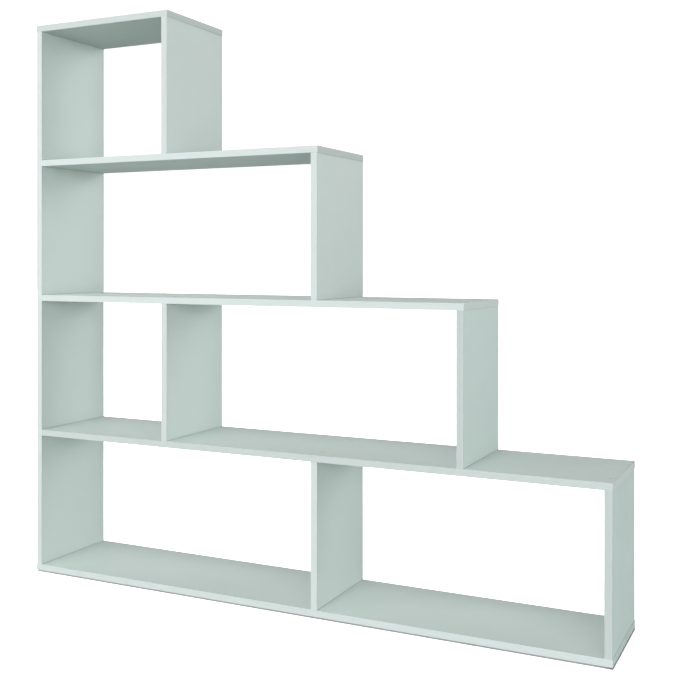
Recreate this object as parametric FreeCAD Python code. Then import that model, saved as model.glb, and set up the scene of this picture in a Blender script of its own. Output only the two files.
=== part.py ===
import FreeCAD, Part
import math
import os

from FreeCAD import Vector

# Stair-step bookcase, in millimetres. X runs to the right, towards the low end of the steps,
# Y runs from the front to the back, and Z runs up from the floor.

# Overall sizes, from the floor to the top board and over the outer faces of the boards
total_width = 1490.0
total_height = 1450.0
total_depth = 270.0

# Melamine-faced board
board_thickness = 16.0

# Reach of each stepped tier, from the bottom panel's left end to the right end of the board on top
second_tier_reach = 1178.0
third_tier_reach = 828.0
top_tier_reach = 414.0

# Edging strip on every board edge that stays exposed
edging_thickness = 1.0
edging_round = 0.5

# How far the edged ends of the lying boards stand out past the uprights' outer faces
end_overhang = 1.0

# Furniture screw that goes through one board into the end of the next
screw_length = 50.0
screw_head_radius = 4.9
screw_head_rim = 1.0
screw_head_cone = 2.4
screw_neck_radius = 3.5
screw_neck_length = 9.0
screw_thread_radius = 2.9
screw_tip_radius = 1.2
screw_tip_length = 4.0
screw_key_across_flats = 4.0
screw_key_depth = 2.6
screw_inset = 50.0

# Wooden dowel in the middle of each joint, its depth in the first board a share of the board
dowel_radius = 4.0
dowel_length = 30.0
dowel_chamfer = 1.0
dowel_side_clearance = 0.05
dowel_end_clearance = 0.5
dowel_depth_share = 0.7

# Thin round cover over a screw head
cover_radius = 6.5
cover_thickness = 0.6
cover_round = 0.3

# Nail-on glide under the bottom panel, its nail's depth in the panel a share of the board
glide_radius = 10.0
glide_height = 3.0
glide_round = 0.8
glide_inset = 22.0
nail_radius = 0.9
nail_point_length = 2.0
nail_point_radius = 0.2
nail_head_radius = 2.6
nail_head_height = 0.8
nail_head_sink = 1.2
nail_depth_share = 0.7

# How far a cutting shape stands out of the face that it enters
cut_overrun = 1.0

right = Vector(1, 0, 0)
back = Vector(0, 1, 0)
up = Vector(0, 0, 1)
down = Vector(0, 0, -1)
full_turn = 360
hexagon_sides = 6

# Faces of the whole bookcase, with the origin under its middle
left_face = -total_width / 2
right_face = total_width / 2
front_face = -total_depth / 2
back_face = total_depth / 2
core_front = front_face + edging_thickness
core_back = back_face - edging_thickness
side_left = left_face + end_overhang
shelf_left = side_left + board_thickness

# Undersides of the five levels of lying boards. The tiers share the height over the glides.
tier_count = 4
tier_pitch = (total_height - glide_height - board_thickness) / tier_count
levels = [glide_height + tier_pitch * tier for tier in range(tier_count + 1)]

# Right ends of the tiers, from the first tier up
reaches = [total_width, second_tier_reach, third_tier_reach, top_tier_reach]
tier_ends = [left_face + reach for reach in reaches]


class Board:
    """A board as its outline in X and Z, with the ends that stay exposed."""

    def __init__(self, x_low, x_high, z_low, z_high, exposed_ends=()):
        self.x_low = x_low
        self.x_high = x_high
        self.z_low = z_low
        self.z_high = z_high
        self.middle_x = (x_low + x_high) / 2
        self.middle_z = (z_low + z_high) / 2
        self.is_lying = x_high - x_low > z_high - z_low
        self.exposed_ends = exposed_ends

    def slab(self, x_low, x_high, y_low, y_high):
        size = Vector(x_high - x_low, y_high - y_low, self.z_high - self.z_low)
        return Part.makeBox(size.x, size.y, size.z, Vector(x_low, y_low, self.z_low))

    def core(self):
        """The board itself, inside its edging strips."""
        x_low = self.x_low + edging_thickness * ("left" in self.exposed_ends)
        x_high = self.x_high - edging_thickness * ("right" in self.exposed_ends)
        return self.slab(x_low, x_high, core_front, core_back)

    def is_rounded(self, point):
        """Whether an edge with this middle bounds an edged face, and no face that butts on a board."""
        if self.is_lying:
            ends = {"left": point.x - self.x_low, "right": self.x_high - point.x}
        else:
            ends = {"foot": point.z - self.z_low, "head": self.z_high - point.z}
        edged = [point.y - front_face, back_face - point.y]
        edged += [distance for side, distance in ends.items() if side in self.exposed_ends]
        butting = [distance for side, distance in ends.items() if side not in self.exposed_ends]
        return min(edged) < edging_round / 2 and all(distance > edging_round / 2 for distance in butting)

    def rounded(self):
        """The board with its edging in one, and the edges of the edged faces rounded."""
        body = self.slab(self.x_low, self.x_high, front_face, back_face)
        chosen = [edge for edge in body.Edges if self.is_rounded(edge.CenterOfMass)]
        return body.makeFillet(edging_round, chosen)

    def strips(self):
        """Front and back strips as long as the board, with the end strips between them."""
        left_end = self.x_low + edging_thickness
        right_end = self.x_high - edging_thickness
        outlines = {
            "front": self.slab(self.x_low, self.x_high, front_face, core_front),
            "back": self.slab(self.x_low, self.x_high, core_back, back_face),
        }
        if "left" in self.exposed_ends:
            outlines["left"] = self.slab(self.x_low, left_end, core_front, core_back)
        if "right" in self.exposed_ends:
            outlines["right"] = self.slab(right_end, self.x_high, core_front, core_back)
        body = self.rounded()
        return {side: body.common(outline) for side, outline in outlines.items()}


def turned(profile, origin, direction):
    """A turned solid. The profile is pairs of radius and distance along the axis."""
    corners = [origin + direction * along + back * radius for radius, along in profile]
    face = Part.Face(Part.makePolygon(corners + corners[:1]))
    return face.revolve(origin, direction, full_turn)


def rounded_disc(radius, height, rounding, origin, direction):
    """A disc that stands on a face, with its far rim rounded."""
    disc = Part.makeCylinder(radius, height, origin, direction)
    far_middle = origin + direction * height
    rims = [edge for edge in disc.Edges if (edge.CenterOfMass - far_middle).Length < height / 2]
    return disc.makeFillet(rounding, [edge for edge in rims if edge.isClosed()])


# Boards


def lying_board(tier, x_low, x_high, exposed_ends):
    return Board(x_low, x_high, levels[tier], levels[tier] + board_thickness, exposed_ends)


def standing_board(tier, panel_end):
    x_high = panel_end - end_overhang
    z_low = levels[tier] + board_thickness
    return Board(x_high - board_thickness, x_high, z_low, levels[tier + 1])


def make_boards():
    first_end, second_end, third_end, top_end = tier_ends
    side_low = levels[0] + board_thickness
    return {
        "bottom_panel": lying_board(0, left_face, right_face, ("left", "right")),
        "shelf_1": lying_board(1, shelf_left, first_end, ("right",)),
        "shelf_2": lying_board(2, shelf_left, second_end, ("right",)),
        "shelf_3": lying_board(3, shelf_left, third_end, ("right",)),
        "top_panel": lying_board(tier_count, left_face, top_end, ("left", "right")),
        "left_side": Board(side_left, shelf_left, side_low, levels[tier_count]),
        "end_upright_1": standing_board(0, first_end),
        "end_upright_2": standing_board(1, second_end),
        "end_upright_3": standing_board(2, third_end),
        "end_upright_4": standing_board(3, top_end),
        # Each divider is in line with the end upright two tiers up
        "divider_1": standing_board(0, third_end),
        "divider_2": standing_board(1, top_end),
    }


# Joints


class Joint:
    """Screws and a dowel that hold the end of one board against the face of another."""

    def __init__(self, faced, ended, head_point, direction):
        self.faced = faced
        self.ended = ended
        self.head_point = head_point
        self.direction = direction

    def heads(self):
        row = total_depth / 2 - screw_inset
        return [self.head_point - back * row, self.head_point + back * row]

    def dowel_start(self):
        return self.head_point + self.direction * (board_thickness * (1 - dowel_depth_share))


def make_joints(boards):
    """The screws always go in from the side that stays free."""
    joints = []
    stands_on = [
        ("bottom_panel", ("left_side", "divider_1", "end_upright_1")),
        ("shelf_1", ("divider_2", "end_upright_2")),
        ("shelf_2", ("end_upright_3",)),
        ("shelf_3", ("end_upright_4",)),
    ]
    lies_on = [
        ("shelf_1", ("divider_1", "end_upright_1")),
        ("shelf_2", ("divider_2", "end_upright_2")),
        ("shelf_3", ("end_upright_3",)),
        ("top_panel", ("left_side", "end_upright_4")),
    ]
    for panel, uprights in stands_on:
        for upright in uprights:
            head_point = Vector(boards[upright].middle_x, 0, boards[panel].z_low)
            joints.append(Joint(panel, upright, head_point, up))
    for panel, uprights in lies_on:
        for upright in uprights:
            head_point = Vector(boards[upright].middle_x, 0, boards[panel].z_high)
            joints.append(Joint(panel, upright, head_point, down))
    for shelf in ("shelf_1", "shelf_2", "shelf_3"):
        head_point = Vector(side_left, 0, boards[shelf].middle_z)
        joints.append(Joint("left_side", shelf, head_point, right))
    return joints


def screw_profile(head_start):
    cone_end = screw_head_rim + screw_head_cone
    neck_end = cone_end + screw_neck_length
    return [
        (0, head_start),
        (screw_head_radius, head_start),
        (screw_head_radius, screw_head_rim),
        (screw_neck_radius, cone_end),
        (screw_neck_radius, neck_end),
        (screw_thread_radius, neck_end),
        (screw_thread_radius, screw_length - screw_tip_length),
        (screw_tip_radius, screw_length),
        (0, screw_length),
    ]


def key_socket(head, direction):
    """Six-sided socket for the key, in the screw's head."""
    corner_radius = screw_key_across_flats / 2 / math.cos(math.pi / hexagon_sides)
    sideways = direction.cross(back)
    corners = []
    for side in range(hexagon_sides + 1):
        angle = 2 * math.pi * side / hexagon_sides
        offset = back * math.cos(angle) + sideways * math.sin(angle)
        corners.append(head - direction * cut_overrun + offset * corner_radius)
    outline = Part.Face(Part.makePolygon(corners))
    return outline.extrude(direction * (cut_overrun + screw_key_depth))


def panel_screw(head, direction):
    return turned(screw_profile(0), head, direction).cut(key_socket(head, direction))


def screw_hole(head, direction):
    return turned(screw_profile(-cut_overrun), head, direction)


def dowel(joint):
    profile = [
        (0, 0),
        (dowel_radius - dowel_chamfer, 0),
        (dowel_radius, dowel_chamfer),
        (dowel_radius, dowel_length - dowel_chamfer),
        (dowel_radius - dowel_chamfer, dowel_length),
        (0, dowel_length),
    ]
    return turned(profile, joint.dowel_start(), joint.direction)


def dowel_hole(joint):
    start = joint.dowel_start() - joint.direction * dowel_end_clearance
    radius = dowel_radius + dowel_side_clearance
    return Part.makeCylinder(radius, dowel_length + 2 * dowel_end_clearance, start, joint.direction)


def screw_cover(head, direction):
    return rounded_disc(cover_radius, cover_thickness, cover_round, head, -direction)


# Glides


def glide_places(boards):
    """Points on the bottom panel's underside."""
    underside = boards["bottom_panel"].z_low
    columns = [left_face + glide_inset, boards["divider_1"].middle_x, right_face - glide_inset]
    rows = [front_face + glide_inset, back_face - glide_inset]
    return [Vector(x, y, underside) for x in columns for y in rows]


def glide_nail(place):
    head_low = nail_head_sink - glide_height
    head_high = head_low + nail_head_height
    point_end = board_thickness * nail_depth_share
    profile = [
        (0, head_low),
        (nail_head_radius, head_low),
        (nail_head_radius, head_high),
        (nail_radius, head_high),
        (nail_radius, point_end - nail_point_length),
        (nail_point_radius, point_end),
        (0, point_end),
    ]
    return turned(profile, place, up)


def floor_glide(place):
    pad = rounded_disc(glide_radius, glide_height, glide_round, place, down)
    floor_point = place + down * (glide_height + cut_overrun)
    recess = Part.makeCylinder(nail_head_radius, nail_head_sink + cut_overrun, floor_point, up)
    return pad.cut([recess, glide_nail(place)])


# Assembly


def drill(boards, joints, places):
    """The boards' cores with the holes for their screws, dowels and nails."""
    tools = {name: [] for name in boards}
    for joint in joints:
        holes = [screw_hole(head, joint.direction) for head in joint.heads()]
        holes.append(dowel_hole(joint))
        tools[joint.faced].extend(holes)
        tools[joint.ended].extend(holes)
    tools["bottom_panel"].extend(glide_nail(place) for place in places)
    return {name: boards[name].core().cut(tools[name]).Solids for name in boards}


def make_nodes():
    boards = make_boards()
    joints = make_joints(boards)
    places = glide_places(boards)
    nodes = drill(boards, joints, places)
    for name, board in boards.items():
        for side, strip in board.strips().items():
            nodes[f"{name}_{side}_edging"] = strip.Solids
    heads = [(head, joint) for joint in joints for head in joint.heads()]
    # The screws under the bottom panel can't be seen and have no covers
    seen_heads = [(head, joint) for head, joint in heads if head.z > levels[0]]
    nodes["panel_screws"] = [panel_screw(head, joint.direction) for head, joint in heads]
    nodes["screw_covers"] = [screw_cover(head, joint.direction) for head, joint in seen_heads]
    nodes["dowels"] = [dowel(joint) for joint in joints]
    nodes["floor_glides"] = [floor_glide(place) for place in places]
    nodes["glide_nails"] = [glide_nail(place) for place in places]
    return nodes


def write_nodes(nodes):
    os.makedirs("parts", exist_ok=True)
    for name, solids in nodes.items():
        pieces = [piece.Solids[0] for piece in solids]
        shape = pieces[0] if len(pieces) == 1 else Part.makeCompound(pieces)
        shape.exportStep(f"parts/{name}.step")
        print(name, len(pieces), "valid" if shape.isValid() else "not valid")


write_nodes(make_nodes())
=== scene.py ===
import bpy
import bmesh
import math
import random
from mathutils import Matrix, Vector


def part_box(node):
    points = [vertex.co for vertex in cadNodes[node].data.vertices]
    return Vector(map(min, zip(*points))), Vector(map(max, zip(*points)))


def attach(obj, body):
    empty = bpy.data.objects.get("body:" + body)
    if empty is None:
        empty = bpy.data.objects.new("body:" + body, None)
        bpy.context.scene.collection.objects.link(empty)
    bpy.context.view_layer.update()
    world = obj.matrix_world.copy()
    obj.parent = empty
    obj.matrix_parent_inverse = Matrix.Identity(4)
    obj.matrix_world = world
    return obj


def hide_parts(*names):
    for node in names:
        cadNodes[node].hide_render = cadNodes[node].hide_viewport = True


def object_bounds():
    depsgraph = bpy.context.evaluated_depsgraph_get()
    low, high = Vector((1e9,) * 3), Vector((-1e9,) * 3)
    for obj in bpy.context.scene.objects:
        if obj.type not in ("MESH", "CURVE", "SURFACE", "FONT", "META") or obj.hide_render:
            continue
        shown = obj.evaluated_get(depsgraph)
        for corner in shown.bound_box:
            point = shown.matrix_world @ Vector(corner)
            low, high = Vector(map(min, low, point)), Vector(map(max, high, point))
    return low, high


# Stair-step bookcase of pale melamine board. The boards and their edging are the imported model's
# own pieces, finished here, and the small hardware in the joints is modelled in full.

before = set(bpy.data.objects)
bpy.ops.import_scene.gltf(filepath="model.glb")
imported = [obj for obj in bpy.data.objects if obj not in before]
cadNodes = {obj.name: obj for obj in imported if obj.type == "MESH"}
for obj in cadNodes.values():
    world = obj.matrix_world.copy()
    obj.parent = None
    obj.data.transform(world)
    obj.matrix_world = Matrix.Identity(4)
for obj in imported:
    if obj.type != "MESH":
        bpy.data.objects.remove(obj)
cadLow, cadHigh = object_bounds()
print("frame loaded,", len(cadNodes), "nodes")

mm = 0.001
fullTurn = 2 * math.pi
samePoint = 1e-7  # closer together than this, two points of a new shape are one
sameCadPoint = 1e-6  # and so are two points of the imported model
sameLevel = 1e-5  # and heights this close are one level


# Node helpers. A factor is a grey value around 1 that a colour is multiplied by.

def feed(tree, socket, value):
    # a value is a plain number or colour, or the output of another node
    if isinstance(value, bpy.types.NodeSocket):
        tree.links.new(value, socket)
    else:
        socket.default_value = value


def addNode(tree, kind, inputs=None, **settings):
    made = tree.nodes.new("ShaderNode" + kind)
    for name, value in settings.items():
        setattr(made, name, value)
    for name, value in (inputs or {}).items():
        feed(tree, made.inputs[name], value)
    return made


def newMaterial(name):
    material = bpy.data.materials.new(name)
    material.use_nodes = True
    tree = material.node_tree
    return material, tree, tree.nodes["Principled BSDF"]


def objectPlace(tree, stretch=(1, 1, 1)):
    place = addNode(tree, "TexCoord").outputs["Object"]
    return addNode(tree, "Mapping", {"Vector": place, "Scale": stretch}).outputs["Vector"]


def ownPlace(tree, stretch=(1, 1, 1)):
    # coordinates along and across each small part, kept from before it was turned into place
    place = addNode(tree, "Attribute", attribute_name="ownPlace").outputs["Vector"]
    return addNode(tree, "Mapping", {"Vector": place, "Scale": stretch}).outputs["Vector"]


def noiseOf(tree, place, size=1.0, detail=2.0):
    inputs = {"Vector": place, "Scale": 1 / size, "Detail": detail}
    return addNode(tree, "TexNoise", inputs).outputs["Fac"]


def remap(tree, value, low, high, newLow, newHigh):
    inputs = {
        "Value": value, "From Min": low, "From Max": high, "To Min": newLow, "To Max": newHigh,
    }
    return addNode(tree, "MapRange", inputs).outputs["Result"]


def calculate(tree, operation, first, second=0.0):
    made = addNode(tree, "Math", {0: first, 1: second}, operation=operation)
    return made.outputs["Value"]


def mixColours(tree, share, first, second):
    made = addNode(tree, "Mix", {0: share, 6: first, 7: second}, data_type="RGBA")
    return made.outputs[2]


def brighten(tree, colour, *factors):
    factor = factors[0]
    for other in factors[1:]:
        factor = calculate(tree, "MULTIPLY", factor, other)
    grey = addNode(tree, "CombineColor", {"Red": factor, "Green": factor, "Blue": factor})
    inputs = {0: 1.0, 6: colour, 7: grey.outputs["Color"]}
    return addNode(tree, "Mix", inputs, data_type="RGBA", blend_type="MULTIPLY").outputs[2]


noiseSpread = (0.3, 0.7)  # nearly all values of a noise lie between these


def vary(tree, value, amount, spread=noiseSpread):
    # a factor that is as much as this amount under or over 1
    return remap(tree, value, *spread, 1 - amount, 1 + amount)


def partTone(tree, amount):
    # a factor that is different for each small part
    ownTone = addNode(tree, "Attribute", attribute_name="ownTone").outputs["Fac"]
    return vary(tree, ownTone, amount, (-1, 1))


fullLean = 0.8  # the wear is full where the rounded and the flat normal agree only this much


def wornEdge(tree, width, brightness):
    # a factor of 1 on a flat face that rises to the brightness on the arris
    rounded = addNode(tree, "Bevel", {"Radius": width}, samples=6).outputs["Normal"]
    flat = addNode(tree, "NewGeometry").outputs["True Normal"]
    lean = addNode(tree, "VectorMath", {0: rounded, 1: flat}, operation="DOT_PRODUCT")
    return remap(tree, lean.outputs["Value"], 1.0, fullLean, 1.0, brightness)


cornerOpenness = (0.5, 0.95)  # how open an inside corner and a free face are


def cornerShade(tree, reach, darkest):
    # a factor for dust and shadow in the inside corners, where two boards meet
    openness = addNode(tree, "AmbientOcclusion", {"Distance": reach}, samples=8).outputs["AO"]
    return remap(tree, openness, *cornerOpenness, darkest, 1.0)


def bump(tree, height, distance, strength, below=None):
    inputs = {"Height": height, "Distance": distance, "Strength": strength}
    if below is not None:
        inputs["Normal"] = below
    return addNode(tree, "Bump", inputs).outputs["Normal"]


# Shape helpers. A small part is made once, along Z from its wider end, and copied to every
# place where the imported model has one.

def ring(radiusAt, height, count):
    points = []
    for step in range(count):
        angle = fullTurn * step / count
        radius = radiusAt(angle)
        points.append(Vector((radius * math.cos(angle), radius * math.sin(angle), height)))
    return points


def loft(shape, rings, closed=False):
    # a skin over rings of points; a ring of one point closes an end
    rows = [[shape.verts.new(point) for point in points] for points in rings]
    following = rows[1:] + rows[:1] if closed else rows[1:]
    for row, nextRow in zip(rows, following):
        for step in range(max(len(row), len(nextRow))):
            corners = [row[step % len(row)], row[(step + 1) % len(row)]]
            corners += [nextRow[(step + 1) % len(nextRow)], nextRow[step % len(nextRow)]]
            shape.faces.new(dict.fromkeys(corners))


def turn(shape, profile, count, closed=False):
    # the profile is pairs of radius and height, and radius 0 closes an end
    rings = []
    for radius, height in profile:
        if radius == 0:
            rings.append([Vector((0, 0, height))])
        else:
            rings.append(ring(lambda angle: radius, height, count))
    loft(shape, rings, closed)


def quarterRound(radius, height, rounding, steps):
    # from the rim's side over its rounded corner to its end face at this height
    points = []
    for step in range(steps + 1):
        angle = fullTurn / 4 * step / steps
        outward = rounding * (1 - math.cos(angle))
        points.append((radius - outward, height - rounding * (1 - math.sin(angle))))
    return points


def finishShape(shape):
    bmesh.ops.remove_doubles(shape, verts=shape.verts, dist=samePoint)
    bmesh.ops.dissolve_degenerate(shape, edges=shape.edges, dist=samePoint)
    bmesh.ops.recalc_face_normals(shape, faces=shape.faces)
    shape.verts.index_update()
    corners = [vert.co.copy() for vert in shape.verts]
    faces = [[vert.index for vert in face.verts] for face in shape.faces]
    shape.free()
    return corners, faces


def cadPieces(name):
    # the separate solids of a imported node, each as its corner points, read from a copy
    copied = bmesh.new()
    copied.from_mesh(cadNodes[name].data)
    bmesh.ops.remove_doubles(copied, verts=copied.verts, dist=sameCadPoint)
    copied.verts.index_update()
    seen = set()
    pieces = []
    for start in copied.verts:
        if start.index in seen:
            continue
        seen.add(start.index)
        waiting = [start]
        points = []
        while waiting:
            vert = waiting.pop()
            points.append(vert.co.copy())
            neighbours = [edge.other_vert(vert) for edge in vert.link_edges]
            for other in neighbours:
                if other.index not in seen:
                    seen.add(other.index)
                    waiting.append(other)
        pieces.append(points)
    copied.free()
    return pieces


def placeOf(points, chooseAxis):
    # the matrix that takes a part from along Z to where these points are, its wider end first
    low = [min(point[axis] for point in points) for axis in range(3)]
    high = [max(point[axis] for point in points) for axis in range(3)]
    axis = chooseAxis(range(3), key=lambda each: high[each] - low[each])
    middle = (Vector(low) + Vector(high)) / 2

    def widthAt(level):
        atEnd = [point - middle for point in points if abs(point[axis] - level) < sameLevel]
        return max(math.hypot(offset[axis - 1], offset[axis - 2]) for offset in atEnd)

    startsHigh = widthAt(high[axis]) > widthAt(low[axis]) + sameLevel
    way = Vector((0, 0, 0))
    way[axis] = -1 if startsHigh else 1
    middle[axis] = high[axis] if startsHigh else low[axis]
    return Matrix.Translation(middle) @ way.to_track_quat("Z", "Y").to_matrix().to_4x4()


def fillNode(name, node, template, chooseAxis, material, sharpAngle):
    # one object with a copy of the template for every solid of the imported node
    corners, faces = template
    places = [placeOf(points, chooseAxis) for points in cadPieces(node)]
    chance = random.Random(node)
    points = []
    allFaces = []
    ownPlaces = []
    ownTones = []
    for place in places:
        first = len(points)
        shift = Vector([chance.uniform(0, 1) for axis in range(3)])
        tone = chance.uniform(-1, 1)
        points += [place @ corner for corner in corners]
        allFaces += [[first + index for index in face] for face in faces]
        ownPlaces += [corner + shift for corner in corners]
        ownTones += [tone] * len(corners)
    mesh = bpy.data.meshes.new(name)
    mesh.from_pydata(points, [], allFaces)
    flatList = [value for place in ownPlaces for value in place]
    mesh.attributes.new("ownPlace", "FLOAT_VECTOR", "POINT").data.foreach_set("vector", flatList)
    mesh.attributes.new("ownTone", "FLOAT", "POINT").data.foreach_set("value", ownTones)
    mesh.polygons.foreach_set("use_smooth", [True] * len(mesh.polygons))
    mesh.set_sharp_from_angle(angle=math.radians(sharpAngle))
    mesh.materials.append(material)
    piece = bpy.data.objects.new(name, mesh)
    bpy.context.scene.collection.objects.link(piece)
    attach(piece, "root")
    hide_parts(node)
    print(name, "made:", len(places), "copies,", len(mesh.polygons), "faces")


# Melamine face of the boards

melamine = {
    "colour": (0.500, 0.575, 0.547, 1),
    "cloudSize": 0.30, "cloudAmount": 0.020, "cloudSpread": (0.25, 0.75),
    "fleckSize": 0.0016, "fleckAmount": 0.020,
    "pearlSize": 0.0011, "pearlHeight": 0.00003, "pearlStrength": 0.40,
    "wavinessSize": 0.06, "wavinessHeight": 0.0001, "wavinessStrength": 0.05,
    "roughness": (0.44, 0.52), "smudgeSize": 0.05,
    "wearWidth": 0.0012, "wearBrightness": 1.05,
    "shadeReach": 0.0015, "shadeDarkest": 0.52,
}

# Bare chipboard under the film, seen in the drilled holes and on the cut ends, and the thin
# line of glue where the film meets an edging strip

chipboard = {
    "colour": (0.42, 0.31, 0.19, 1),
    "chipSize": 0.0014, "chipTones": (0.6, 1.25),
    "filmThickness": 0.0002, "filmFade": 0.0001,
    "extraRoughness": 0.3,
    "glueWidth": 0.0005, "glueFade": 0.0003, "glueTone": 0.50,
}


def ownColour(name, v, colour):
    # the common colour in the tone and the tint of one board or strip; a tone over 1 is painted
    # light and a tone under 1 is painted shade
    tones = [tone for group, tone in v["tones"].items() if name in v[group]]
    tone = tones[0] if tones else 1.0
    tint = v["greenTint"] if name in v["greener"] else (1.0, 1.0, 1.0)
    return [channel * tone * share for channel, share in zip(colour, tint)] + [1]


def melamineFace(tree, place, colour):
    # the face's colour, its roughness and its normal
    v = melamine
    clouds = noiseOf(tree, place, v["cloudSize"], detail=3)
    flecks = noiseOf(tree, place, v["fleckSize"])
    pearl = noiseOf(tree, place, v["pearlSize"], detail=3)
    waviness = noiseOf(tree, place, v["wavinessSize"], detail=1)
    smudges = noiseOf(tree, place, v["smudgeSize"], detail=5)
    cloudy = vary(tree, clouds, v["cloudAmount"], v["cloudSpread"])
    flecked = vary(tree, flecks, v["fleckAmount"])
    wear = wornEdge(tree, v["wearWidth"], v["wearBrightness"])
    shade = cornerShade(tree, v["shadeReach"], v["shadeDarkest"])
    face = brighten(tree, colour, cloudy, flecked, wear, shade)
    rough = remap(tree, smudges, *noiseSpread, *v["roughness"])
    wavy = bump(tree, waviness, v["wavinessHeight"], v["wavinessStrength"])
    return face, rough, bump(tree, pearl, v["pearlHeight"], v["pearlStrength"], wavy)


def fromBorder(tree, place, low, high, axes):
    # how far inside the board a point is, measured along these axes
    parts = addNode(tree, "SeparateXYZ", {"Vector": place})
    nearest = None
    for axis in axes:
        fromLow = calculate(tree, "SUBTRACT", parts.outputs[axis], low[axis])
        fromHigh = calculate(tree, "SUBTRACT", high[axis], parts.outputs[axis])
        both = calculate(tree, "MINIMUM", fromLow, fromHigh)
        nearest = both if nearest is None else calculate(tree, "MINIMUM", nearest, both)
    return nearest


def makeBoardMaterial(name, colour, low, high):
    v = chipboard
    thin = min(range(3), key=lambda axis: high[axis] - low[axis])
    edged = (0, 1) if thin == 2 else (1,)  # lying boards have edging on their ends too
    material, tree, shader = newMaterial("melamine_" + name)
    place = objectPlace(tree)
    face, rough, normal = melamineFace(tree, place, colour)
    fromStrip = fromBorder(tree, place, low, high, edged)
    glueEnd = v["glueWidth"] + v["glueFade"]
    glue = remap(tree, fromStrip, v["glueWidth"], glueEnd, v["glueTone"], 1.0)
    face = brighten(tree, face, glue)
    depth = fromBorder(tree, place, low, high, (thin,))
    filmEnd = v["filmThickness"] + v["filmFade"]
    bare = remap(tree, depth, v["filmThickness"], filmEnd, 0, 1)
    chipInputs = {"Vector": place, "Scale": 1 / v["chipSize"]}
    chips = addNode(tree, "TexVoronoi", chipInputs).outputs["Color"]
    chipGrey = addNode(tree, "RGBToBW", {"Color": chips}).outputs["Val"]
    chipTone = remap(tree, chipGrey, 0, 1, *v["chipTones"])
    core = brighten(tree, v["colour"], chipTone)
    feed(tree, shader.inputs["Base Color"], mixColours(tree, bare, face, core))
    coreRough = calculate(tree, "MULTIPLY", bare, v["extraRoughness"])
    feed(tree, shader.inputs["Roughness"], calculate(tree, "ADD", rough, coreRough))
    feed(tree, shader.inputs["Normal"], normal)
    return material


softArris = {"segments": 2, "fromAngle": 50}


def softenEdges(piece, width):
    weld = piece.modifiers.new("weld", "WELD")
    weld.merge_threshold = sameCadPoint
    bevel = piece.modifiers.new("softEdges", "BEVEL")
    bevel.width = width
    bevel.segments = softArris["segments"]
    bevel.limit_method = "ANGLE"
    bevel.angle_limit = math.radians(softArris["fromAngle"])


# each board's colour is scaled by its tone, with painted light on the paler boards and painted
# shade on the deeper ones, and end_upright_1 and end_upright_2 are a little greener than the
# others
boards = {
    "edgeSoftness": 0.15 * mm,
    "tones": {"paintedLight": 1.03, "paintedShade": 0.96, "paintedDeepShade": 0.90},
    "paintedLight": ("left_side", "shelf_3", "divider_2"),
    "paintedShade": ("end_upright_1", "end_upright_3", "end_upright_4"),
    "paintedDeepShade": ("top_panel",),
    "greener": ("end_upright_1", "end_upright_2"), "greenTint": (0.96, 1.0, 1.0),
}
boardNames = [name for name in cadNodes if name + "_front_edging" in cadNodes]
for name in boardNames:
    colour = ownColour(name, boards, melamine["colour"])
    cadNodes[name].material_slots[0].material = makeBoardMaterial(name, colour, *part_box(name))
    softenEdges(cadNodes[name], boards["edgeSoftness"])
print("boards finished:", len(boardNames))


# Edging strips

edging = {
    # the front strips' colour is a little lighter and less green than the end strips', which is
    # painted light from the front
    "frontColour": (0.515, 0.568, 0.558, 1), "endColour": (0.485, 0.555, 0.530, 1),
    # the tones paint light on the paler strips and shade on the others, darkest on the right ends
    # of top_panel and shelf_3
    "tones": {"paintedLight": 1.05, "paintedShade": 0.94, "paintedDeepShade": 0.88, "paintedDarkShade": 0.76},
    "paintedLight": ("left_side_front_edging", "end_upright_3_front_edging", "shelf_2_front_edging",
             "shelf_3_front_edging", "bottom_panel_front_edging", "divider_1_front_edging"),
    "paintedShade": ("top_panel_front_edging", "shelf_1_front_edging", "bottom_panel_right_edging"),
    "paintedDeepShade": ("end_upright_1_front_edging", "end_upright_2_front_edging"),
    "paintedDarkShade": ("top_panel_right_edging", "shelf_3_right_edging"),
    "greener": ("bottom_panel_right_edging",), "greenTint": (0.96, 1.0, 1.0),
    "grooveLength": 0.25, "grooveWidth": 0.0007, "grooveHeight": 0.00002, "grooveStrength": 0.3,
    "toneLength": 0.5, "toneWidth": 0.004, "toneAmount": 0.015,
    "roughness": (0.34, 0.46),
    "wearWidth": 0.0008, "wearBrightness": 1.06,
    "shadeReach": 0.0015, "shadeDarkest": 0.60,
    "edgeSoftness": 0.3 * mm,
}


def makeEdging(name, longAxis, colour):
    v = edging
    material, tree, shader = newMaterial(name)
    fine = [1 / v["grooveWidth"]] * 3
    fine[longAxis] = 1 / v["grooveLength"]
    broad = [1 / v["toneWidth"]] * 3
    broad[longAxis] = 1 / v["toneLength"]
    grooves = noiseOf(tree, objectPlace(tree, fine))
    tone = vary(tree, noiseOf(tree, objectPlace(tree, broad)), v["toneAmount"])
    wear = wornEdge(tree, v["wearWidth"], v["wearBrightness"])
    shade = cornerShade(tree, v["shadeReach"], v["shadeDarkest"])
    feed(tree, shader.inputs["Base Color"], brighten(tree, colour, tone, wear, shade))
    feed(tree, shader.inputs["Roughness"], remap(tree, grooves, *noiseSpread, *v["roughness"]))
    normal = bump(tree, grooves, v["grooveHeight"], v["grooveStrength"])
    feed(tree, shader.inputs["Normal"], normal)
    return material


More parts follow.
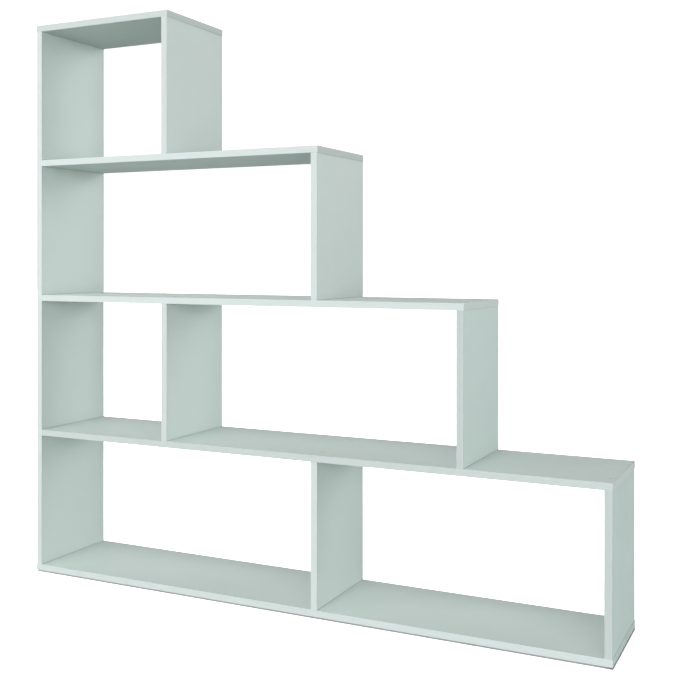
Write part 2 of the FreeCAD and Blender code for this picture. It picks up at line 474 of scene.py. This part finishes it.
edgingMaterials = {}
stripNames = [name for name in cadNodes if name.endswith("_edging")]
for name in stripNames:
    low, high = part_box(name)
    size = Vector(high) - Vector(low)
    longAxis = max(range(3), key=lambda axis: size[axis])
    # the strips along Y are on the boards' ends
    colour = edging["endColour"] if longAxis == 1 else edging["frontColour"]
    colour = ownColour(name, edging, colour)
    key = (longAxis, *colour)
    if key not in edgingMaterials:
        madeName = "edging_" + str(len(edgingMaterials) + 1)
        edgingMaterials[key] = makeEdging(madeName, longAxis, colour)
    cadNodes[name].material_slots[0].material = edgingMaterials[key]
    softenEdges(cadNodes[name], edging["edgeSoftness"])
print("edging strips finished:", len(stripNames))


# Zinc-plated steel of the screws and nails

steel = {
    "colour": (0.62, 0.62, 0.60, 1), "tarnishColour": (0.47, 0.43, 0.34, 1),
    "tarnishSize": 0.004, "tarnishSpread": (0.5, 0.75), "tarnishAmount": 0.6,
    "scratchSize": 0.0006, "scratchHeight": 0.00001, "scratchStrength": 0.4,
    "scratchStretch": (1, 1, 6),  # finer along the part, so that the scratches run round it
    "roughness": (0.24, 0.42), "toneAmount": 0.06, "wearWidth": 0.0003, "wearBrightness": 1.3,
}


def makeSteel(name):
    v = steel
    material, tree, shader = newMaterial(name)
    tarnish = noiseOf(tree, ownPlace(tree), v["tarnishSize"], detail=4)
    tarnish = remap(tree, tarnish, *v["tarnishSpread"], 0, v["tarnishAmount"])
    scratches = noiseOf(tree, ownPlace(tree, v["scratchStretch"]), v["scratchSize"], detail=3)
    tone = partTone(tree, v["toneAmount"])
    wear = wornEdge(tree, v["wearWidth"], v["wearBrightness"])
    plated = mixColours(tree, tarnish, v["colour"], v["tarnishColour"])
    feed(tree, shader.inputs["Base Color"], brighten(tree, plated, tone, wear))
    shader.inputs["Metallic"].default_value = 1.0
    feed(tree, shader.inputs["Roughness"], remap(tree, scratches, *noiseSpread, *v["roughness"]))
    normal = bump(tree, scratches, v["scratchHeight"], v["scratchStrength"])
    feed(tree, shader.inputs["Normal"], normal)
    return material


zincSteel = makeSteel("zincSteel")


# Screws: a countersunk head with a six-sided socket, a plain neck and a coarse thread

panelScrew = {
    "length": 50 * mm, "aroundCount": 24,
    "headRadius": 4.9 * mm, "headRim": 1.0 * mm, "headCone": 2.4 * mm, "headBevel": 0.25 * mm,
    "keyAcross": 4.0 * mm, "keyDepth": 2.6 * mm, "keyChamfer": 0.3 * mm, "drillPoint": 0.5 * mm,
    "neckRadius": 3.5 * mm, "neckLength": 9.0 * mm,
    "rootRadius": 2.3 * mm, "threadHeight": 1.1 * mm, "pitch": 3.0 * mm,
    "threadShares": (0.0, 0.38, 0.46, 0.84),  # of the pitch, for root, crest, crest and root
    "tipLength": 6.0 * mm, "tipRadius": 1.2 * mm,
}


def hexagonRadius(across):
    def radiusAt(angle):
        fromCorner = angle % (fullTurn / 6)
        return across / 2 / math.cos(fromCorner - fullTurn / 12)
    return radiusAt


def addThread(shape, v, start, end):
    # rows of points that climb round the shank: two at the root and two at the crest each turn
    count = v["aroundCount"]
    shares = v["threadShares"]
    turns = math.ceil((end - start) / v["pitch"])

    def threadPoint(row, step):
        lap, part = divmod(row, len(shares))
        height = start + v["pitch"] * (lap + shares[part] + step / count)
        height = min(max(height, start), end)
        taper = min(1, (end - height) / v["tipLength"])
        radius = v["tipRadius"] + (v["rootRadius"] - v["tipRadius"]) * taper
        if part in (1, 2):  # the crest
            fadeIn = min(1, (height - start) / v["pitch"])
            radius += v["threadHeight"] * fadeIn * taper
        angle = fullTurn * step / count
        return Vector((radius * math.cos(angle), radius * math.sin(angle), height))

    rows = range(-len(shares), turns * len(shares) + 1)
    steps = range(count + 1)
    grid = [[shape.verts.new(threadPoint(row, step)) for step in steps] for row in rows]
    for row, nextRow in zip(grid, grid[1:]):
        for step in range(count):
            shape.faces.new((row[step], row[step + 1], nextRow[step + 1], nextRow[step]))


def makeScrew():
    v = panelScrew
    count = v["aroundCount"]
    shape = bmesh.new()
    coneEnd = v["headRim"] + v["headCone"]
    neckEnd = coneEnd + v["neckLength"]
    threadStart = neckEnd + v["neckRadius"] - v["rootRadius"]
    socket = [
        [Vector((0, 0, v["keyDepth"]))],
        ring(hexagonRadius(v["keyAcross"]), v["keyDepth"] - v["drillPoint"], count),
        ring(hexagonRadius(v["keyAcross"]), v["keyChamfer"], count),
        ring(hexagonRadius(v["keyAcross"] + v["keyChamfer"]), 0, count),
    ]
    outside = [
        (v["headRadius"] - v["headBevel"], 0), (v["headRadius"], v["headBevel"]),
        (v["headRadius"], v["headRim"]), (v["neckRadius"], coneEnd),
        (v["neckRadius"], neckEnd), (v["rootRadius"], threadStart),
    ]
    outside = [ring(lambda angle: radius, height, count) for radius, height in outside]
    loft(shape, socket + outside)
    addThread(shape, v, threadStart, v["length"])
    turn(shape, [(v["tipRadius"], v["length"]), (0, v["length"])], count)
    return finishShape(shape)


fillNode("threadedPanelScrews", "panel_screws", makeScrew(), max, zincSteel,
         sharpAngle=35)


# Screw covers: thin round foils in the colour of the board

screwCover = {
    "radius": 6.5 * mm, "height": 0.6 * mm, "rounding": 0.3 * mm, "roundingSteps": 4,
    "innerRadius": 3.25 * mm, "aroundCount": 64, "toneAmount": 0.010,
}


def makeScrewCover():
    v = screwCover
    shape = bmesh.new()
    rim = quarterRound(v["radius"], v["height"], v["rounding"], v["roundingSteps"])
    top = [(v["innerRadius"], v["height"]), (0, v["height"])]
    turn(shape, [(0, 0), (v["radius"], 0), *rim, *top], v["aroundCount"])
    return finishShape(shape)


def makeCoverMaterial():
    material, tree, shader = newMaterial("coverFoil")
    tone = partTone(tree, screwCover["toneAmount"])
    face, rough, normal = melamineFace(tree, objectPlace(tree), melamine["colour"])
    feed(tree, shader.inputs["Base Color"], brighten(tree, face, tone))
    feed(tree, shader.inputs["Roughness"], rough)
    feed(tree, shader.inputs["Normal"], normal)
    return material


coverFoil = makeCoverMaterial()
fillNode("roundScrewCovers", "screw_covers", makeScrewCover(), min, coverFoil,
         sharpAngle=30)


# Dowels: beech, with flutes for the glue and chamfered ends

beechDowel = {
    "radius": 4.0 * mm, "length": 30 * mm, "chamfer": 1.0 * mm,
    "fluteCount": 16, "fluteDepth": 0.25 * mm, "pointsEachFlute": 6,
    # for each ring at an end: how far in and how far along it is, in chamfers, and how much of
    # the flutes' depth it has
    "endRings": ((1.0, 0.0, 0.0), (0.4, 0.5, 0.3), (0.0, 1.0, 0.8), (0.0, 2.0, 1.0)),
    "colour": (0.62, 0.45, 0.28, 1), "poreColour": (0.40, 0.25, 0.13, 1),
    "grainWidth": 0.0009, "grainLength": 0.02, "grainAmount": 0.10,
    "poreWidth": 0.00025, "poreLength": 0.003, "poreSpread": (0.60, 0.72), "poreAmount": 0.6,
    "poreHeight": 0.00005, "poreStrength": 0.5,
    "roughness": (0.55, 0.72), "toneAmount": 0.06, "wearWidth": 0.0004, "wearBrightness": 1.12,
}


def makeDowel():
    v = beechDowel
    count = v["fluteCount"] * v["pointsEachFlute"]

    def flutedRadius(radius, share):
        def radiusAt(angle):
            hollow = (0.5 + 0.5 * math.cos(v["fluteCount"] * angle)) ** 2
            return radius - v["fluteDepth"] * share * hollow
        return radiusAt

    ends = []
    for inwards, along, share in v["endRings"]:
        ends.append((v["radius"] - inwards * v["chamfer"], along * v["chamfer"], share))
    farEnds = [(radius, v["length"] - height, share) for radius, height, share in reversed(ends)]
    rings = [[Vector((0, 0, 0))]]
    for radius, height, share in ends + farEnds:
        rings.append(ring(flutedRadius(radius, share), height, count))
    rings.append([Vector((0, 0, v["length"]))])
    shape = bmesh.new()
    loft(shape, rings)
    return finishShape(shape)


def makeBeech():
    v = beechDowel
    material, tree, shader = newMaterial("beech")
    grainPlace = ownPlace(tree, (1 / v["grainWidth"], 1 / v["grainWidth"], 1 / v["grainLength"]))
    porePlace = ownPlace(tree, (1 / v["poreWidth"], 1 / v["poreWidth"], 1 / v["poreLength"]))
    grain = noiseOf(tree, grainPlace, detail=3)
    pores = remap(tree, noiseOf(tree, porePlace), *v["poreSpread"], 0, 1)
    tone = partTone(tree, v["toneAmount"])
    grainTone = vary(tree, grain, v["grainAmount"])
    wear = wornEdge(tree, v["wearWidth"], v["wearBrightness"])
    poreShare = calculate(tree, "MULTIPLY", pores, v["poreAmount"])
    wood = mixColours(tree, poreShare, v["colour"], v["poreColour"])
    feed(tree, shader.inputs["Base Color"], brighten(tree, wood, tone, grainTone, wear))
    feed(tree, shader.inputs["Roughness"], remap(tree, grain, *noiseSpread, *v["roughness"]))
    height = calculate(tree, "SUBTRACT", grain, pores)
    normal = bump(tree, height, v["poreHeight"], v["poreStrength"])
    feed(tree, shader.inputs["Normal"], normal)
    return material


fillNode("flutedDowels", "dowels", makeDowel(), max, makeBeech(), sharpAngle=40)


# Glides under the bottom panel: moulded pads, each with a recess round its nail

floorGlide = {
    "radius": 10.0 * mm, "height": 3.0 * mm, "rounding": 0.8 * mm, "roundingSteps": 6,
    "aroundCount": 64,
    "nailRadius": 0.9 * mm, "headRadius": 2.6 * mm, "headSeat": 1.0 * mm,
    "recessChamfer": 0.2 * mm,
    "colour": (0.68, 0.68, 0.65, 1), "toneAmount": 0.02,
    "grainSize": 0.0004, "grainHeight": 0.00002, "grainStrength": 0.3,
    "scuffSize": 0.0025, "scuffSpread": (0.5, 0.7), "scuffAmount": 0.12,
    "roughness": (0.45, 0.62), "wearWidth": 0.0006, "wearBrightness": 1.08,
}


def makeGlide():
    v = floorGlide
    shape = bmesh.new()
    profile = [(v["nailRadius"], 0), (v["radius"], 0)]
    profile += quarterRound(v["radius"], v["height"], v["rounding"], v["roundingSteps"])
    profile += [(v["headRadius"] + v["recessChamfer"], v["height"])]
    profile += [(v["headRadius"], v["height"] - v["recessChamfer"])]
    profile += [(v["headRadius"], v["headSeat"]), (v["nailRadius"], v["headSeat"])]
    turn(shape, profile, v["aroundCount"], closed=True)
    return finishShape(shape)


def makeGlidePlastic():
    v = floorGlide
    material, tree, shader = newMaterial("glidePlastic")
    grain = noiseOf(tree, ownPlace(tree), v["grainSize"])
    scuffs = noiseOf(tree, ownPlace(tree), v["scuffSize"], detail=6)
    scuffs = remap(tree, scuffs, *v["scuffSpread"], 1, 1 - v["scuffAmount"])
    tone = partTone(tree, v["toneAmount"])
    wear = wornEdge(tree, v["wearWidth"], v["wearBrightness"])
    feed(tree, shader.inputs["Base Color"], brighten(tree, v["colour"], tone, scuffs, wear))
    feed(tree, shader.inputs["Roughness"], remap(tree, grain, *noiseSpread, *v["roughness"]))
    normal = bump(tree, grain, v["grainHeight"], v["grainStrength"])
    feed(tree, shader.inputs["Normal"], normal)
    return material


glidePlastic = makeGlidePlastic()
fillNode("mouldedFloorGlides", "floor_glides", makeGlide(), min, glidePlastic,
         sharpAngle=30)


# Nails of the glides, with rings on the shank

glideNail = {
    "headRadius": 2.6 * mm, "headHeight": 0.8 * mm, "headBevel": 0.2 * mm,
    "shankRadius": 0.9 * mm, "plainLength": 2.0 * mm, "ringDepth": 0.12 * mm,
    "ringPitch": 0.8 * mm, "grooveAt": 0.25, "ringAt": 0.9,  # the last two in shares of the pitch
    "length": 13.0 * mm, "pointLength": 2.0 * mm, "pointRadius": 0.2 * mm, "aroundCount": 32,
}


def makeNail():
    v = glideNail
    head = v["headRadius"]
    bevel = v["headBevel"]
    ringsStart = v["headHeight"] + v["plainLength"]
    pointStart = v["length"] - v["pointLength"]
    ringCount = int((pointStart - ringsStart) / v["ringPitch"])
    profile = [(0, 0), (head - bevel, 0), (head, bevel), (head, v["headHeight"] - bevel)]
    profile += [(head - bevel, v["headHeight"]), (v["shankRadius"], v["headHeight"])]
    grooveRadius = v["shankRadius"] - v["ringDepth"]
    for number in range(ringCount):
        height = ringsStart + v["ringPitch"] * number
        profile += [(v["shankRadius"], height)]
        profile += [(grooveRadius, height + v["ringPitch"] * v["grooveAt"])]
        profile += [(v["shankRadius"], height + v["ringPitch"] * v["ringAt"])]
    profile += [(v["shankRadius"], pointStart), (v["pointRadius"], v["length"]), (0, v["length"])]
    shape = bmesh.new()
    turn(shape, profile, v["aroundCount"])
    return finishShape(shape)


fillNode("ringShankNails", "glide_nails", makeNail(), max, zincSteel,
         sharpAngle=35)


# Floor, light and camera

studioFloor = {
    "colour": (0.95, 0.95, 0.95, 1), "bounce": (0.565, 0.610, 0.600, 1), "size": 40.0,
    # the gap's colour and light are a painted shadow under the base, darkest at its right end
    "paintedGapShadowColour": (0.20, 0.20, 0.20, 1), "paintedGapLight": 0.27, "paintedShadowEnd": 0.02,
    "gapEdge": 0.08, "whiteAt": (0.004, 0.012), "whiteStrength": 1.0,
    "roughness": 0.9, "shine": 0.1,
}


def makeFloor():
    v = studioFloor
    half = v["size"] / 2
    mesh = bpy.data.meshes.new("studioFloor")
    corners = [(-half, -half, 0), (half, -half, 0), (half, half, 0), (-half, half, 0)]
    mesh.from_pydata(corners, [], [(0, 1, 2, 3)])
    floor = bpy.data.objects.new("studioFloor", mesh)
    bpy.context.scene.collection.objects.link(floor)
    material, tree, shader = newMaterial("paleFloor")
    seen = addNode(tree, "LightPath").outputs["Is Camera Ray"]
    # the floor burns out to white beside the base, and a painted shadow keeps the low gap under
    # the base dark, most of all at its right end; distances are in shares of the way to white
    place = addNode(tree, "SeparateXYZ", {"Vector": objectPlace(tree)})
    beside = []
    for axis in (0, 1):
        outward = calculate(tree, "ABSOLUTE", place.outputs[axis])
        outward = calculate(tree, "SUBTRACT", outward, cadHigh[axis])
        outward = calculate(tree, "DIVIDE", outward, v["whiteAt"][axis])
        beside.append(calculate(tree, "POWER", calculate(tree, "MAXIMUM", outward, 0.0), 2.0))
    distance = calculate(tree, "SQRT", calculate(tree, "ADD", *beside))
    outside = remap(tree, distance, 0.0, v["gapEdge"], 0.0, 1.0)
    shown = mixColours(tree, outside, v["paintedGapShadowColour"], v["colour"])
    feed(tree, shader.inputs["Base Color"], mixColours(tree, seen, v["bounce"], shown))
    fromEnd = calculate(tree, "SUBTRACT", cadHigh[0], place.outputs[0])
    paintedGapLight = remap(tree, fromEnd, 0.0, v["paintedShadowEnd"], 0.0, v["paintedGapLight"])
    white = remap(tree, distance, v["gapEdge"], 1.0, paintedGapLight, v["whiteStrength"])
    shader.inputs["Emission Color"].default_value = (1, 1, 1, 1)
    feed(tree, shader.inputs["Emission Strength"], calculate(tree, "MULTIPLY", white, seen))
    shader.inputs["Roughness"].default_value = v["roughness"]
    shader.inputs["Specular IOR Level"].default_value = v["shine"]
    mesh.materials.append(material)


# Soft light from a few sides, each glow strongest where it comes from and tighter with a higher
# focus. Azimuth 0 is the front and 90 the right-hand side, in degrees.

domeGlows = {
    "frontHigh": {"azimuth": 0, "elevation": 45, "focus": 40, "strength": 15.2},
    "frontRight": {"azimuth": 30, "elevation": 10, "focus": 40, "strength": 1.7},
    "rightBehind": {"azimuth": 120, "elevation": 10, "focus": 40, "strength": 7.2},
    "backRight": {"azimuth": 150, "elevation": 10, "focus": 40, "strength": 3.0},
    "backHigh": {"azimuth": 180, "elevation": 35, "focus": 40, "strength": 2.0},
    "backLeft": {"azimuth": 225, "elevation": 11, "focus": 6, "strength": 0.8},
}
backgroundStrength = 1.1


def makeWorld():
    world = bpy.data.worlds.new("studioWorld")
    bpy.context.scene.world = world
    world.use_nodes = True
    tree = world.node_tree
    direction = addNode(tree, "TexCoord").outputs["Generated"]
    light = None
    for v in domeGlows.values():
        azimuth = math.radians(v["azimuth"])
        elevation = math.radians(v["elevation"])
        level = math.cos(elevation)
        towards = (math.sin(azimuth) * level, -math.cos(azimuth) * level, math.sin(elevation))
        facing = addNode(tree, "VectorMath", {0: direction, 1: towards}, operation="DOT_PRODUCT")
        facing = calculate(tree, "MAXIMUM", facing.outputs["Value"], 0.0)
        glow = calculate(tree, "POWER", facing, v["focus"])
        glow = calculate(tree, "MULTIPLY", glow, v["strength"])
        light = glow if light is None else calculate(tree, "ADD", light, glow)
    seen = addNode(tree, "LightPath").outputs["Is Camera Ray"]
    strength = addNode(tree, "Mix", {0: seen, 2: light, 3: backgroundStrength}, data_type="FLOAT")
    background = tree.nodes["Background"]
    background.inputs["Color"].default_value = (1, 1, 1, 1)
    tree.links.new(strength.outputs[0], background.inputs["Strength"])


softboxes = {
    "rightBox": {"place": (4.0, -4.0, 1.1), "aim": (0.6, 0, 0.7),
                 "size": (3.0, 2.2), "watts": 136},
    "leftBox": {"place": (-2.2, -2.0, 0.9), "aim": (-0.33, 0, 0.7),
                "size": (1.6, 1.6), "watts": 13},
    "leftHighBox": {"place": (-2.2, -2.0, 3.0), "aim": (-0.33, 0, 0.7),
                    "size": (1.6, 1.6), "watts": 23},
}


def makeSoftbox(name, v):
    light = bpy.data.lights.new(name, "AREA")
    light.shape = "RECTANGLE"
    light.size, light.size_y = v["size"]
    light.energy = v["watts"]
    lamp = bpy.data.objects.new(name, light)
    bpy.context.scene.collection.objects.link(lamp)
    lamp.location = v["place"]
    towards = Vector(v["aim"]) - Vector(v["place"])
    lamp.rotation_euler = towards.to_track_quat("-Z", "Y").to_euler()


photoView = {
    "focalPixels": 1064.0, "middlePixel": (285.0, 258.6), "framePixels": 680,
    "sensorWidth": 36, "place": (1.1438, -2.3492, 0.8309), "turn": 0.47705,
}


def makeCamera():
    v = photoView
    lens = bpy.data.cameras.new("photoCamera")
    camera = bpy.data.objects.new("photoCamera", lens)
    bpy.context.scene.collection.objects.link(camera)
    half = v["framePixels"] / 2
    lens.sensor_width = v["sensorWidth"]
    lens.lens = v["focalPixels"] * v["sensorWidth"] / v["framePixels"]
    lens.shift_x = (half - v["middlePixel"][0]) / v["framePixels"]
    lens.shift_y = (v["middlePixel"][1] - half) / v["framePixels"]
    camera.location = v["place"]
    camera.rotation_euler = (math.radians(90), 0, v["turn"])
    bpy.context.scene.camera = camera


makeFloor()
makeWorld()
for name, values in softboxes.items():
    makeSoftbox(name, values)
makeCamera()
bpy.context.scene.view_settings.view_transform = "Standard"
bpy.context.scene.view_settings.look = "None"
print("studio ready")
